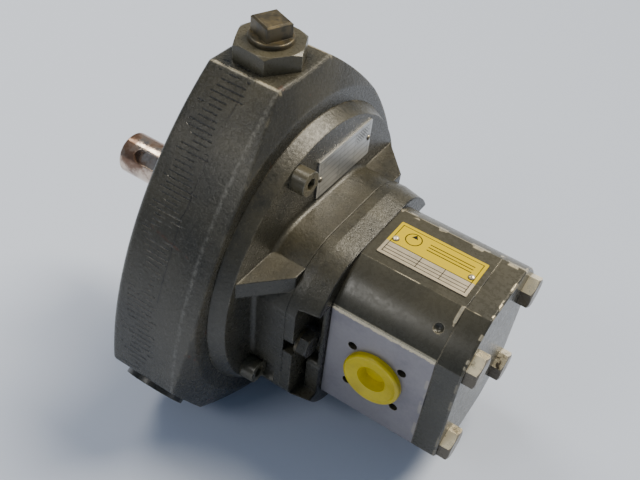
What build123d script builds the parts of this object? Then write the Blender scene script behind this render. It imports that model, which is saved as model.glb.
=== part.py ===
from build123d import *
from math import acos, cos, degrees, pi, radians, sin, sqrt, tan
import os

# Tandem hydraulic pump: a three-element radial piston stage in a lobed iron casing, with an
# external gear pump flanged to its rear.  Millimetres.  The origin is on the drive shaft's
# axis in the casing's front mounting face, the gear stage is along +X and +Z is up.

# Drive shaft
shaft_r = 12.5
shaft_free = 75
seal_journal_r = 15
shaft_step_x = -11
shaft_end_x = 47
key_width = 8
key_depth = 4
key_length = 50
key_angle = 135
eccentricity = 3
eccentric_r = seal_journal_r + eccentricity + 0.3
eccentric_width = 16
circlip_r = 17

# Lobed casing
lobe_angles = (90, 210, 330)
element_names = ("top", "near", "far")
casing_depth = 48
land_distance = 104.4
land_half_width = 20.8
flank_mid_r = 87.7
land_depth = 40
rear_face_r = 91
cylinder_x = 20
cavity_r = 38
cavity_depth = 30
mount_hole_r = 5.1
mount_hole_pcd = 130
mount_hole_depth = 22
mount_angles = (30, 150, 270)

# Front cover with the mounting pilot
pilot_r = 50
pilot_length = 9
cover_register = 9.5
cover_screw_pcd = 86

# Ball bearings, 30 x 55 x 13
bearing_outer_r = 27.5
bearing_width = 13
front_bearing_x = -2
rear_bearing_x = 31
ball_pitch_r = 21.25
ball_r = 3.57
ball_count = 11

# Pump elements
cylinder_r = 12
cylinder_inner = 44
cylinder_outer = 88
piston_r = 6
piston_foot_r = 9.5
ring_outer_r = 26
piston_rest = ring_outer_r + eccentricity + 0.4
plug_thread_r = 13.5
plug_head_r = 16.5
plug_head = 3
hex_flats = 32
hex_height = 9
square_flats = 14
square_turn = -22

# Adaptor
flange_front_r = 83
flange_rear_r = 79
flange_rear_x = 56
adaptor_end_x = 75.3
adaptor_bore_r = 19
adaptor_screw_r = 72
adaptor_screw_angles = (111, 213, 327)
neck_round = 4
neck_foot = 2.6
screw_relief_r = 7.5

# Shared outline of the adaptor's neck and the gear pump's front flange
gear_centres = 33
mid_z = -gear_centres / 2
neck_top = 39.2
neck_flat = 20
neck_side = 57
neck_corner = 13
neck_bulge = 7

# Gear pump
body_x = 92.3
cover_x = 150.2
pump_end_x = 163.8
body_top = 36.6
body_flat = 20.4
body_side = 42.6
body_corner = 17.8
gear_x = 110
gear_width = 22
gear_module = 3
gear_teeth = 11
pressure_angle = 25
addendum = 0.9
dedendum = 1.15
backlash = 0.25
gear_bore_r = 19.25
journal_r = 8
bush_r = 10
seal_groove_r = 17.6
port_r = 10
port_square = 28.28
port_thread_r = 2.5
ear_thickness = 5.7
ear_bolt_y = 49
ear_bolt_z = -11
pocket_floor = 39.2
pocket_half = 34
flange_draft = 10
cover_bolt_y = 31.8
cover_bolt_z = 31.4

# Plates
plate_thickness = 0.8
name_plate_size = (50, 22.6)
name_plate_centre = (17.3, 53.2)
label_size = (49.4, 26.2)
label_thickness = 0.6
label_centre = (122.3, -1.6)

running = 0.05
os.makedirs("parts", exist_ok=True)


def finish(builder, label):
    builder.part.label = label
    export_step(builder.part, f"parts/{label}.step")


def across(x):
    # plane square to the shaft: local x is +Y, local y is +Z
    return Plane.YZ.offset(x)


def radial(angle, distance, x=cylinder_x):
    # plane facing outwards from the shaft, by default along a pump element's axis
    way = (0, cos(radians(angle)), sin(radians(angle)))
    return Plane(origin=(x, distance * way[1], distance * way[2]), x_dir=(1, 0, 0), z_dir=way)


def polar(radius, angle):
    return (radius * cos(radians(angle)), radius * sin(radians(angle)))


def stepped(angle, steps, mode=Mode.ADD, x=cylinder_x):
    # coaxial discs on a radial axis, each (start, end, radius)
    for start, end, radius in steps:
        with BuildSketch(radial(angle, start, x)) as disc:
            Circle(radius)
        extrude(disc.sketch, amount=end - start, mode=mode)


def discs(steps, centre=(0, 0), mode=Mode.ADD):
    # coaxial discs along the shaft, each (start, end, radius)
    for start, end, radius in steps:
        with BuildSketch(across(start)) as disc:
            with Locations(centre):
                Circle(radius)
        extrude(disc.sketch, amount=end - start, mode=mode)


def halves(top, flat, side, corner, bulge):
    # top land, bulged shoulders and straight sides, the same above and below the gears' middle
    drop = 2 * mid_z
    with BuildLine() as outline:
        for upper in (1, -1):
            edge = top if upper > 0 else drop - top
            turn = corner if upper > 0 else drop - corner
            middle = ((flat + side) / 2 + 0.6 * bulge, (edge + turn) / 2 + upper * 0.8 * bulge)
            Line((-flat, edge), (flat, edge))
            ThreePointArc((flat, edge), middle, (side, turn))
            ThreePointArc((-flat, edge), (-middle[0], middle[1]), (-side, turn))
        Line((side, corner), (side, drop - corner))
        Line((-side, corner), (-side, drop - corner))
    make_face(outline.edges())


def neck_outline():
    halves(neck_top, neck_flat, neck_side, neck_corner, neck_bulge)


def body_outline():
    halves(body_top, body_flat, body_side, body_corner, 2.2)


def racetrack(radius, mode=Mode.ADD):
    with Locations((0, mid_z)):
        SlotCenterToCenter(gear_centres, 2 * radius, rotation=90, mode=mode)


def figure_eight(radius, mode=Mode.ADD):
    with Locations((0, 0), (0, -gear_centres)):
        Circle(radius, mode=mode)


# ---------------------------------------------------------------- casing
with BuildPart() as casing:
    with BuildSketch(across(0)):
        with BuildLine():
            for lobe in lobe_angles:
                spread = degrees(acos(land_distance / sqrt(land_distance**2 + land_half_width**2)))
                corner_r = land_distance / cos(radians(spread))
                first = polar(corner_r, lobe - spread)
                last = polar(corner_r, lobe + spread)
                Line(first, last)
                ThreePointArc(last, polar(flank_mid_r, lobe + 60), polar(corner_r, lobe + 120 - spread))
        make_face()
    extrude(amount=casing_depth)
    fillet(casing.edges().filter_by(Axis.X), radius=3)
    with BuildSketch(Plane.XY):
        with BuildLine():
            slope = (casing_depth - land_depth) / (corner_r - rear_face_r)
            Polyline((0, 0), (0, 120), (casing_depth - slope * (120 - rear_face_r), 120),
                     (casing_depth, rear_face_r), (casing_depth, 0), close=True)
        make_face()
    revolve(axis=Axis.X, mode=Mode.INTERSECT)
    fillet(casing.edges().group_by(Axis.X)[0], radius=3)
    discs([(0, cavity_depth, cavity_r), (0, rear_bearing_x + bearing_width, bearing_outer_r),
           (0, casing_depth, circlip_r + 2)], mode=Mode.SUBTRACT)
    for lobe in lobe_angles:
        stepped(lobe, [(cavity_r - 8, cylinder_outer, cylinder_r),
                       (cylinder_outer, land_distance + 5, plug_thread_r),
                       (land_distance - 1.5, land_distance + 5, plug_head_r - 0.5)], mode=Mode.SUBTRACT)
    for angle in mount_angles:
        discs([(0, mount_hole_depth, mount_hole_r)], polar(mount_hole_pcd / 2, angle), Mode.SUBTRACT)
    for angle in range(0, 360, 60):
        discs([(0, 14, 3)], polar(cover_screw_pcd / 2, angle), Mode.SUBTRACT)
    for angle in adaptor_screw_angles:
        discs([(casing_depth - 12, casing_depth + 5, 4)], polar(adaptor_screw_r, angle), Mode.SUBTRACT)
finish(casing, "casing")

# ---------------------------------------------------------------- front cover, screws and shaft seal
with BuildPart() as front_cover:
    discs([(-pilot_length, 0, pilot_r), (0, cover_register, cavity_r)])
    chamfer(front_cover.edges().group_by(Axis.X)[0], length=1)
    discs([(-pilot_length, 0, 23.5), (front_bearing_x, cover_register, bearing_outer_r)],
          mode=Mode.SUBTRACT)
    for angle in range(0, 360, 60):
        spot = polar(cover_screw_pcd / 2, angle)
        discs([(-pilot_length, 0, 3), (-pilot_length, 6.5 - pilot_length, 5.5)], spot, Mode.SUBTRACT)
finish(front_cover, "front_cover")

with BuildPart() as front_cover_screws:
    for angle in range(0, 360, 60):
        spot = polar(cover_screw_pcd / 2, angle)
        discs([(0.5 - pilot_length, 6.5 - pilot_length, 5), (6.5 - pilot_length, 12, 3)], spot)
        with BuildSketch(across(0.5 - pilot_length)):
            with Locations(spot):
                RegularPolygon(2.5, 6, major_radius=False)
        extrude(amount=3, mode=Mode.SUBTRACT)
finish(front_cover_screws, "front_cover_screws")

with BuildPart() as shaft_seal:
    with BuildSketch(Plane.XY):
        with BuildLine():
            lip = seal_journal_r + running
            Polyline((-9, 23.5), (-2, 23.5), (-2, 21.5), (-6.5, 21.5), (-6.5, 18.5), (-3.5, 17.5),
                     (-4.5, lip), (-5.5, lip), (-8, 18), (-9, 18), close=True)
        make_face()
    revolve(axis=Axis.X)
finish(shaft_seal, "shaft_seal")

# ---------------------------------------------------------------- drive shaft
with BuildPart() as drive_shaft:
    discs([(-shaft_free, shaft_step_x, shaft_r), (shaft_step_x, shaft_end_x, seal_journal_r)])
    discs([(cylinder_x - eccentric_width / 2, cylinder_x + eccentric_width / 2, eccentric_r)],
          (0, eccentricity))
    chamfer(drive_shaft.edges().group_by(Axis.X)[0], length=1.2)
    key_way = (0, cos(radians(key_angle)), sin(radians(key_angle)))
    with BuildSketch(Plane(origin=(0, shaft_r * key_way[1], shaft_r * key_way[2]),
                           x_dir=(1, 0, 0), z_dir=key_way)):
        with Locations((-shaft_free + 10 + key_length / 2, 0)):
            SlotOverall(key_length, key_width)
    extrude(amount=-key_depth, mode=Mode.SUBTRACT)
    with BuildSketch(across(shaft_end_x)):
        Rectangle(2 * seal_journal_r + 4, key_width)
    extrude(amount=-7, mode=Mode.SUBTRACT)
    with BuildSketch(across(-shaft_free)):
        Circle(5)
    extrude(amount=9, taper=28, mode=Mode.SUBTRACT)
finish(drive_shaft, "drive_shaft")

with BuildPart() as shaft_circlip:
    with BuildSketch(across(rear_bearing_x + bearing_width + 0.2)):
        Circle(circlip_r)
        Circle(seal_journal_r, mode=Mode.SUBTRACT)
        with Locations((0, -16)):
            Rectangle(9, 6, mode=Mode.SUBTRACT)
    extrude(amount=1.4)
finish(shaft_circlip, "shaft_circlip")


# ---------------------------------------------------------------- ball bearings
def bearing_ring(inner, outer, x):
    discs([(x, x + bearing_width, outer)])
    discs([(x, x + bearing_width, inner)], mode=Mode.SUBTRACT)
    with BuildSketch(Plane.XY) as groove:
        with Locations((x + bearing_width / 2, ball_pitch_r)):
            Circle(ball_r + 0.08)
    revolve(groove.sketch, axis=Axis.X, mode=Mode.SUBTRACT)


for bearing, start in (("front", front_bearing_x), ("rear", rear_bearing_x)):
    middle_x = start + bearing_width / 2
    with BuildPart() as outer_ring:
        bearing_ring(23.1, bearing_outer_r, start)
    finish(outer_ring, f"{bearing}_bearing_outer_ring")

    with BuildPart() as inner_ring:
        bearing_ring(seal_journal_r, 19.4, start)
    finish(inner_ring, f"{bearing}_bearing_inner_ring")

    with BuildPart() as balls:
        with Locations(across(middle_x)):
            with PolarLocations(ball_pitch_r, ball_count):
                Sphere(ball_r)
    finish(balls, f"{bearing}_bearing_balls")

    with BuildPart() as cage:
        discs([(middle_x - 4.5, middle_x + 4.5, 22)])
        discs([(middle_x - 4.5, middle_x + 4.5, 20.5)], mode=Mode.SUBTRACT)
        for index in range(ball_count):
            stepped(index * 360 / ball_count, [(18, 25, ball_r + running)], Mode.SUBTRACT, middle_x)
    finish(cage, f"{bearing}_bearing_cage")

# ---------------------------------------------------------------- eccentric ring on its bush
ring_start = cylinder_x - eccentric_width / 2
with BuildPart() as eccentric_ring:
    discs([(ring_start, ring_start + eccentric_width, ring_outer_r)], (0, eccentricity))
    chamfer(eccentric_ring.edges().filter_by(GeomType.CIRCLE), length=0.8)
    discs([(ring_start, ring_start + eccentric_width, 20.5)], (0, eccentricity), Mode.SUBTRACT)
finish(eccentric_ring, "eccentric_ring")

with BuildPart() as eccentric_bush:
    discs([(ring_start, ring_start + eccentric_width, 20.5)], (0, eccentricity))
    discs([(ring_start, ring_start + eccentric_width, eccentric_r + running)],
          (0, eccentricity), Mode.SUBTRACT)
finish(eccentric_bush, "eccentric_bush")

# ---------------------------------------------------------------- pump elements
for element, lobe in zip(element_names, lobe_angles):
    with BuildPart() as piston:
        stepped(lobe, [(piston_rest, piston_rest + 3, piston_foot_r),
                       (piston_rest + 3, piston_rest + 32, piston_r - running)])
    finish(piston, f"piston_{element}")

    with BuildPart() as spring:
        wire_r = 0.8
        coil_r = 8
        base = radial(lobe, piston_rest + 3 + wire_r + 0.2)
        coil_height = cylinder_inner - piston_rest - 3 - 2 * wire_r - 0.4
        with BuildLine():
            coil = Helix(pitch=coil_height / 3, height=coil_height, radius=coil_r,
                         center=base.origin, direction=base.z_dir)
        with BuildSketch(Plane(origin=coil @ 0, z_dir=coil % 0)):
            Circle(wire_r)
        sweep(is_frenet=True)
    finish(spring, f"piston_spring_{element}")

with BuildPart() as pump_cylinders:
    for lobe in lobe_angles:
        stepped(lobe, [(cylinder_inner, cylinder_outer, cylinder_r)])
        stepped(lobe, [(cylinder_inner, 68, piston_r), (68, 72, 2.5), (72, cylinder_outer, 6)],
                mode=Mode.SUBTRACT)
finish(pump_cylinders, "pump_cylinders")

with BuildPart() as delivery_balls:
    for lobe in lobe_angles:
        with Locations(radial(lobe, 76)):
            Sphere(4)
finish(delivery_balls, "delivery_valve_balls")

with BuildPart() as delivery_springs:
    for lobe in lobe_angles:
        base = radial(lobe, 80.6)
        with BuildLine():
            coil = Helix(pitch=2.1, height=6.3, radius=3.2, center=base.origin, direction=base.z_dir)
        with BuildSketch(Plane(origin=coil @ 0, z_dir=coil % 0)):
            Circle(0.5)
        sweep(is_frenet=True)
finish(delivery_springs, "delivery_valve_springs")

# ---------------------------------------------------------------- plugs on the three lands
with BuildPart() as lower_plugs:
    for lobe in lobe_angles[1:]:
        stepped(lobe, [(cylinder_outer + 0.2, land_distance, plug_thread_r),
                       (land_distance, land_distance + plug_head, plug_head_r)])
        with BuildSketch(radial(lobe, land_distance + plug_head)):
            RegularPolygon(6, 6, major_radius=False)
        extrude(amount=-9, mode=Mode.SUBTRACT)
finish(lower_plugs, "lower_plugs")

with BuildPart() as plug_seals:
    for lobe in lobe_angles:
        stepped(lobe, [(land_distance - 1.5, land_distance, plug_head_r - 0.5)])
        stepped(lobe, [(land_distance - 1.5, land_distance, plug_thread_r)], mode=Mode.SUBTRACT)
finish(plug_seals, "plug_seals")

hex_top = land_distance + hex_height
with BuildPart() as hex_reducer:
    stepped(90, [(cylinder_outer + 0.2, land_distance, plug_thread_r)])
    with BuildSketch(radial(90, land_distance)):
        RegularPolygon(hex_flats / 2, 6, major_radius=False, rotation=-4)
    extrude(amount=hex_height)
    with BuildSketch(Plane.XZ.offset(0)):
        with BuildLine():
            rim = hex_flats / 2 + 0.4
            Polyline((cylinder_x, 80), (cylinder_x + 22, 80), (cylinder_x + 22, hex_top - 3.2),
                     (cylinder_x + rim, hex_top), (cylinder_x, hex_top), close=True)
        make_face()
    revolve(axis=Axis((cylinder_x, 0, 0), (0, 0, 1)), mode=Mode.INTERSECT)
    stepped(90, [(land_distance - 8, hex_top, 7)], mode=Mode.SUBTRACT)
finish(hex_reducer, "hex_reducer")

with BuildPart() as vent_plug:
    stepped(90, [(land_distance - 6, hex_top, 7), (hex_top, hex_top + 2.4, 11)])
    fillet(vent_plug.edges().group_by(Axis.Z)[-1], radius=0.9)
    with BuildSketch(radial(90, hex_top + 2.4)):
        Rectangle(square_flats, square_flats, rotation=square_turn)
    extrude(amount=7.6)
    chamfer(vent_plug.edges().group_by(Axis.Z)[-1], length=0.8)
finish(vent_plug, "vent_plug")

# ---------------------------------------------------------------- adaptor
with BuildPart() as adaptor:
    with BuildSketch(across(flange_rear_x)):
        neck_outline()
    extrude(amount=adaptor_end_x - flange_rear_x)
    fillet(adaptor.edges().filter_by(Axis.X), radius=neck_round)
    with BuildSketch(across(casing_depth)):
        Circle(flange_front_r)
    extrude(amount=flange_rear_x - casing_depth,
            taper=degrees(acos((flange_rear_x - casing_depth)
                               / sqrt((flange_rear_x - casing_depth)**2
                                      + (flange_front_r - flange_rear_r)**2))))
    rear_edges = adaptor.edges().filter_by_position(Axis.X, flange_rear_x - 0.01, flange_rear_x + 0.01)
    fillet(rear_edges.filter_by(lambda edge: edge.length < 100 and edge.center().Z > -30),
           radius=neck_foot)
    for side in (1, -1):
        with BuildSketch(Plane.XY.offset(22.5)):
            with BuildLine():
                Polyline((flange_rear_x - 2, side * 40), (adaptor_end_x, side * 40),
                         (adaptor_end_x, side * 50), (flange_rear_x, side * 71),
                         (flange_rear_x - 2, side * 71), close=True)
            make_face()
        extrude(amount=9.5)
        discs([(adaptor_end_x - 14, adaptor_end_x, 4)], (side * ear_bolt_y, ear_bolt_z), Mode.SUBTRACT)
    for angle in adaptor_screw_angles[1:]:
        discs([(flange_rear_x, flange_rear_x + 15, screw_relief_r)], polar(adaptor_screw_r, angle),
              Mode.SUBTRACT)
    discs([(casing_depth, adaptor_end_x, adaptor_bore_r), (adaptor_end_x - 5, adaptor_end_x, 25)],
          mode=Mode.SUBTRACT)
    for angle in adaptor_screw_angles:
        discs([(casing_depth, flange_rear_x, 4.3)], polar(adaptor_screw_r, angle), Mode.SUBTRACT)
    with BuildSketch(across(casing_depth)):
        Circle(33)
        Circle(30, mode=Mode.SUBTRACT)
    extrude(amount=2, mode=Mode.SUBTRACT)
finish(adaptor, "adaptor")

with BuildPart() as adaptor_seal:
    with BuildSketch(across(casing_depth)):
        Circle(33)
        Circle(30, mode=Mode.SUBTRACT)
    extrude(amount=2)
finish(adaptor_seal, "adaptor_seal")

with BuildPart() as adaptor_screws:
    for angle in adaptor_screw_angles:
        spot = polar(adaptor_screw_r, angle)
        discs([(casing_depth - 11, flange_rear_x, 4), (flange_rear_x, flange_rear_x + 8, 6.5)], spot)
        with BuildSketch(across(flange_rear_x + 8)):
            with Locations(spot):
                RegularPolygon(3, 6, major_radius=False)
        extrude(amount=-4, mode=Mode.SUBTRACT)
    chamfer(adaptor_screws.edges().filter_by(GeomType.CIRCLE).group_by(Axis.X)[-1], length=0.7)
finish(adaptor_screws, "adaptor_screws")

with BuildPart() as name_plate:
    with BuildSketch(across(flange_rear_x)):
        with Locations(name_plate_centre):
            RectangleRounded(name_plate_size[0], name_plate_size[1], 1)
    extrude(amount=plate_thickness)
finish(name_plate, "name_plate")

with BuildPart() as name_plate_rivets:
    with BuildSketch(across(flange_rear_x + plate_thickness)):
        with Locations(name_plate_centre):
            with GridLocations(name_plate_size[0] - 4.5, 1, 2, 1):
                Circle(1.5)
    extrude(amount=0.8)
    fillet(name_plate_rivets.edges().group_by(Axis.X)[-1], radius=0.6)
finish(name_plate_rivets, "name_plate_rivets")

# ---------------------------------------------------------------- coupling disc
with BuildPart() as coupling_disc:
    discs([(shaft_end_x + 0.5, 60, 14)])
    with BuildSketch(across(shaft_end_x - 6)):
        Rectangle(28, key_width - 0.1)
    extrude(amount=6.5)
    with BuildSketch(across(60)):
        Rectangle(key_width, 30)
    extrude(amount=-6.5, mode=Mode.SUBTRACT)
finish(coupling_disc, "coupling_disc")

# ---------------------------------------------------------------- gear pump front flange
with BuildPart() as pump_flange:
    with BuildSketch(across(adaptor_end_x)):
        neck_outline()
    extrude(amount=ear_thickness)
    fillet(pump_flange.edges().filter_by(Axis.X), radius=neck_round)
    pocket_x = adaptor_end_x + ear_thickness
    extrude(pump_flange.faces().sort_by(Axis.X)[-1], amount=body_x - pocket_x, taper=flange_draft)
    discs([(adaptor_end_x - 5, adaptor_end_x, 25)])
    for side in (1, -1):
        # side pocket behind the ear, with a low rear lip and a block in its lower end
        with BuildSketch(across(pocket_x)):
            with Locations((side * (pocket_floor + 12), mid_z)):
                RectangleRounded(24, 2 * pocket_half, 6)
            with Locations((side * (pocket_floor + 18), mid_z)):
                Rectangle(12, 2 * pocket_half)
        extrude(amount=body_x - pocket_x, mode=Mode.SUBTRACT)
        with BuildSketch(across(body_x - 2.4)):
            with Locations((side * (pocket_floor + 2), mid_z)):
                Rectangle(8, 2 * pocket_half + 4)
        extrude(amount=2.4)
        with BuildSketch(across(pocket_x + 3)):
            with Locations((side * (pocket_floor + 2.5), mid_z - pocket_half + 10)):
                RectangleRounded(9, 26, 3)
        extrude(amount=body_x - pocket_x - 3)
        with BuildSketch(across(adaptor_end_x)):
            with Locations((side * ear_bolt_y, ear_bolt_z)):
                SlotCenterPoint((side * 6, 0), (0, 0), 8.8)
        extrude(amount=ear_thickness, mode=Mode.SUBTRACT)
        discs([(body_x - 14, body_x, 5)], (side * cover_bolt_y, mid_z + cover_bolt_z), Mode.SUBTRACT)
        discs([(body_x - 14, body_x, 5)], (side * cover_bolt_y, mid_z - cover_bolt_z), Mode.SUBTRACT)
        discs([(body_x - 6, body_x, 3)], (side * 30, mid_z), Mode.SUBTRACT)
    discs([(adaptor_end_x - 5, body_x, 9), (adaptor_end_x, adaptor_end_x + 7, 14)],
          mode=Mode.SUBTRACT)
    with BuildSketch(across(body_x)):
        racetrack(23.2)
        racetrack(21.2, Mode.SUBTRACT)
    extrude(amount=-1.8, mode=Mode.SUBTRACT)
finish(pump_flange, "pump_flange")

with BuildPart() as flange_bolts:
    head_x = adaptor_end_x + ear_thickness + 1.6
    for side in (1, -1):
        spot = (side * ear_bolt_y, ear_bolt_z)
        discs([(adaptor_end_x - 13, head_x, 4)], spot)
        with BuildSketch(across(head_x)):
            with Locations(spot):
                RegularPolygon(6.5, 6, major_radius=False)
        extrude(amount=5.3)
finish(flange_bolts, "flange_bolts")

with BuildPart() as flange_washers:
    for side in (1, -1):
        spot = (side * ear_bolt_y, ear_bolt_z)
        discs([(head_x - 1.6, head_x, 7)], spot)
        discs([(head_x - 1.6, head_x, 4)], spot, Mode.SUBTRACT)
finish(flange_washers, "flange_washers")

with BuildPart() as gear_shaft_seal:
    with BuildSketch(Plane.XY):
        with BuildLine():
            lip = journal_r + running
            left = adaptor_end_x
            Polyline((left, 14), (left + 7, 14), (left + 7, 12.5), (left + 2, 12.5), (left + 2, 10.5),
                     (left + 5, 9.5), (left + 4, lip), (left + 3, lip), (left + 1, 10), (left, 10),
                     close=True)
        make_face()
    revolve(axis=Axis.X)
finish(gear_shaft_seal, "gear_shaft_seal")

# ---------------------------------------------------------------- gear body
port_x = gear_x + gear_width / 2
with BuildPart() as gear_body:
    with BuildSketch(across(body_x)):
        body_outline()
    extrude(amount=cover_x - body_x)
    with BuildSketch(across(body_x)):
        figure_eight(gear_bore_r)
    extrude(amount=cover_x - body_x, mode=Mode.SUBTRACT)
    for side in (1, -1):
        face = Plane(origin=(port_x, side * body_side, mid_z), x_dir=(-side, 0, 0), z_dir=(0, side, 0))
        with BuildSketch(face):
            Circle(port_r)
        extrude(amount=-(body_side - 8), mode=Mode.SUBTRACT)
        with BuildSketch(face):
            with GridLocations(port_square, port_square, 2, 2):
                Circle(port_thread_r)
        extrude(amount=-13, mode=Mode.SUBTRACT)
        for level in (cover_bolt_z, -cover_bolt_z):
            spot = (side * cover_bolt_y, mid_z + level)
            discs([(body_x, cover_x, 5.25)], spot, Mode.SUBTRACT)
        discs([(body_x, body_x + 6, 3), (cover_x - 6, cover_x, 3)], (side * 30, mid_z), Mode.SUBTRACT)
    # locating dimple on the near shoulder
    with Locations((143.7, -33.6, 30.2)):
        Sphere(3, mode=Mode.SUBTRACT)
finish(gear_body, "gear_body")

with BuildPart() as dowels:
    for side in (1, -1):
        discs([(body_x - 6, body_x + 6, 3), (cover_x - 6, cover_x + 6, 3)], (side * 30, mid_z))
finish(dowels, "dowels")

for label, x, depth in (("body_seal_front", body_x, -1.8), ("body_seal_rear", cover_x, 1.8)):
    with BuildPart() as body_seal:
        with BuildSketch(across(x)):
            racetrack(23.2)
            racetrack(21.2, Mode.SUBTRACT)
        extrude(amount=depth)
    finish(body_seal, label)

# ---------------------------------------------------------------- gears
pitch_r = gear_module * gear_teeth / 2
base_r = pitch_r * cos(radians(pressure_angle))
tip_r = pitch_r + addendum * gear_module
root_r = pitch_r - dedendum * gear_module


def involute(angle):
    return tan(angle) - angle


def half_tooth(radius):
    # half of the tooth's angle at a radius, in degrees; below the base circle the flank is radial
    roll = acos(min(1, base_r / radius))
    at_pitch = pi / (2 * gear_teeth) - backlash / (2 * pitch_r)
    return degrees(at_pitch + involute(radians(pressure_angle)) - involute(roll))


with BuildSketch() as tooth:
    with BuildLine():
        steps = [base_r + (tip_r - base_r) * step / 5 for step in range(6)]
        left = [polar(radius, half_tooth(radius)) for radius in steps]
        right = [polar(radius, -half_tooth(radius)) for radius in steps]
        inner = root_r - 0.5
        Spline(*left)
        Spline(*right)
        ThreePointArc(left[-1], (tip_r, 0), right[-1])
        Line(left[0], polar(inner, half_tooth(base_r)))
        Line(right[0], polar(inner, -half_tooth(base_r)))
        Line(polar(inner, half_tooth(base_r)), polar(inner, -half_tooth(base_r)))
    make_face()


def toothed(centre_z, first_tooth):
    with BuildSketch(across(gear_x + 0.1)) as wheel:
        with Locations((0, centre_z)):
            Circle(root_r)
            with PolarLocations(0, gear_teeth, start_angle=first_tooth):
                add(tooth.sketch)
    extrude(wheel.sketch, amount=gear_width - 0.2)


journal_start = body_x + 0.7
journal_end = cover_x - 0.7
with BuildPart() as drive_gear:
    toothed(0, -90)
    discs([(54, journal_end, journal_r)])
    with BuildSketch(across(54)):
        Rectangle(40, 40)
        Rectangle(key_width - 0.1, 40, mode=Mode.SUBTRACT)
    extrude(amount=7, mode=Mode.SUBTRACT)
finish(drive_gear, "drive_gear")

with BuildPart() as driven_gear:
    toothed(-gear_centres, 90 + 180 / gear_teeth)
    discs([(journal_start, journal_end, journal_r)], (0, -gear_centres))
finish(driven_gear, "driven_gear")

# ---------------------------------------------------------------- bearing blocks, bushes and seals
block_spans = {"front": (body_x + 0.4, gear_x), "rear": (gear_x + gear_width, cover_x - 0.4)}
for block, (start, end) in block_spans.items():
    outside = start if block == "front" else end
    inwards = 1.5 if block == "front" else -1.5
    with BuildPart() as bearing_block:
        with BuildSketch(across(start)):
            figure_eight(gear_bore_r - running)
            figure_eight(bush_r, Mode.SUBTRACT)
        extrude(amount=end - start)
        with BuildSketch(across(outside)):
            figure_eight(seal_groove_r)
            figure_eight(seal_groove_r - 1.4, Mode.SUBTRACT)
        extrude(amount=inwards, mode=Mode.SUBTRACT)
    finish(bearing_block, f"{block}_bearing_block")

    with BuildPart() as block_seal:
        with BuildSketch(across(outside + inwards)):
            figure_eight(seal_groove_r)
            figure_eight(seal_groove_r - 1.4, Mode.SUBTRACT)
        extrude(amount=-inwards * 1.26)
    finish(block_seal, f"{block}_block_seal")

with BuildPart() as bearing_bushes:
    for start, end in block_spans.values():
        for level in (0, -gear_centres):
            discs([(start + 0.5, end - 0.5, bush_r)], (0, level))
            discs([(start, end, journal_r + running)], (0, level), Mode.SUBTRACT)
finish(bearing_bushes, "bearing_bushes")

# ---------------------------------------------------------------- rear cover and its bolts
with BuildPart() as rear_cover:
    with BuildSketch(across(cover_x)):
        body_outline()
    extrude(amount=pump_end_x - cover_x)
    chamfer(rear_cover.faces().sort_by(Axis.X)[-1].edges(), length=0.8)
    with BuildSketch(across(cover_x)):
        racetrack(23.2)
        racetrack(21.2, Mode.SUBTRACT)
    extrude(amount=1.8, mode=Mode.SUBTRACT)
    for side in (1, -1):
        for level in (cover_bolt_z, -cover_bolt_z):
            spot = (side * cover_bolt_y, mid_z + level)
            discs([(cover_x, pump_end_x, 5.25)], spot, Mode.SUBTRACT)
        discs([(cover_x, cover_x + 6, 3)], (side * 30, mid_z), Mode.SUBTRACT)
finish(rear_cover, "rear_cover")

with BuildPart() as cover_bolts:
    for side in (1, -1):
        for level in (cover_bolt_z, -cover_bolt_z):
            spot = (side * cover_bolt_y, mid_z + level)
            discs([(body_x - 13, pump_end_x, 5)], spot)
            with BuildSketch(across(pump_end_x)):
                with Locations(spot):
                    RegularPolygon(8, 6, major_radius=False, rotation=30)
            extrude(amount=6.4)
finish(cover_bolts, "cover_bolts")

# ---------------------------------------------------------------- port caps
for label, side in (("port_cap_near", -1), ("port_cap_far", 1)):
    with BuildPart() as port_cap:
        with BuildSketch(Plane(origin=(port_x, 0, mid_z), x_dir=(1, 0, 0), z_dir=(0, 0, 1))):
            with BuildLine():
                face_y = body_side
                Polyline((0, side * (face_y - 5)), (7, side * (face_y - 5)), (7, side * (face_y - 8)),
                         (port_r, side * (face_y - 8)), (port_r, side * face_y),
                         (16.3, side * face_y))
                Line((16.3, side * face_y), (16.3, side * (face_y + 2.2)))
                ThreePointArc((16.3, side * (face_y + 2.2)), (15.3, side * (face_y + 3.4)),
                              (13.6, side * (face_y + 3.2)))
                Polyline((13.6, side * (face_y + 3.2)), (8, side * (face_y + 2.2)),
                         (6, side * (face_y - 3)), (0, side * (face_y - 3)), (0, side * (face_y - 5)))
            make_face()
        revolve(axis=Axis((port_x, 0, mid_z), (0, 1, 0)))
    finish(port_cap, label)

# ---------------------------------------------------------------- type label on the top land
with BuildPart() as type_label:
    with BuildSketch(Plane.XY.offset(body_top)):
        with Locations(label_centre):
            RectangleRounded(label_size[0], label_size[1], 0.5)
    extrude(amount=label_thickness)
finish(type_label, "type_label")

with BuildPart() as label_rivets:
    with BuildSketch(Plane.XY.offset(body_top + label_thickness)):
        with Locations(label_centre):
            with GridLocations(label_size[0] - 7, 1, 2, 1):
                Circle(1.9)
    extrude(amount=1.1)
    fillet(label_rivets.edges().group_by(Axis.Z)[-1], radius=0.9)
finish(label_rivets, "label_rivets")
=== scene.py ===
import bpy
import bmesh
from math import cos, radians, sin
from mathutils import Matrix, Vector


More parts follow.
